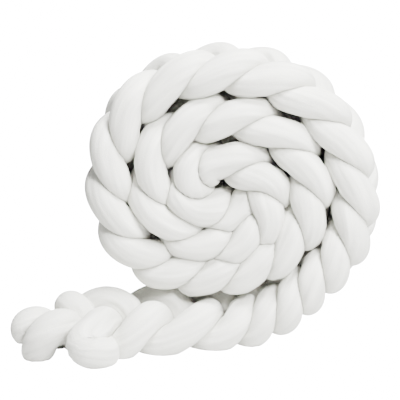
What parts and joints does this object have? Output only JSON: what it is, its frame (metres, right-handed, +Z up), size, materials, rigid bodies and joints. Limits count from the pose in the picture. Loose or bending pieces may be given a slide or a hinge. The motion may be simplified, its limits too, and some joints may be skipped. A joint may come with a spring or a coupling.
{
  "type": "braided crib bumper",
  "caption": "Braided crib bumper of stuffed plush tubes, rolled up and standing on edge on its own loose end.",
  "frame": {"origin": "on the surface it rests on, under the middle of the whole thing's box", "axes": "+Z up, the roll's axis along Y, and the loose end lies along the surface to -X"},
  "size_m": [0.59, 0.3, 0.4912],
  "materials": {
    "plush": "soft matt short-pile plush, off-white"
  },
  "bodies": {
    "root": {"tube_a": "plush", "tube_b": "plush", "tube_c": "plush"}
  },
  "joints": []
}
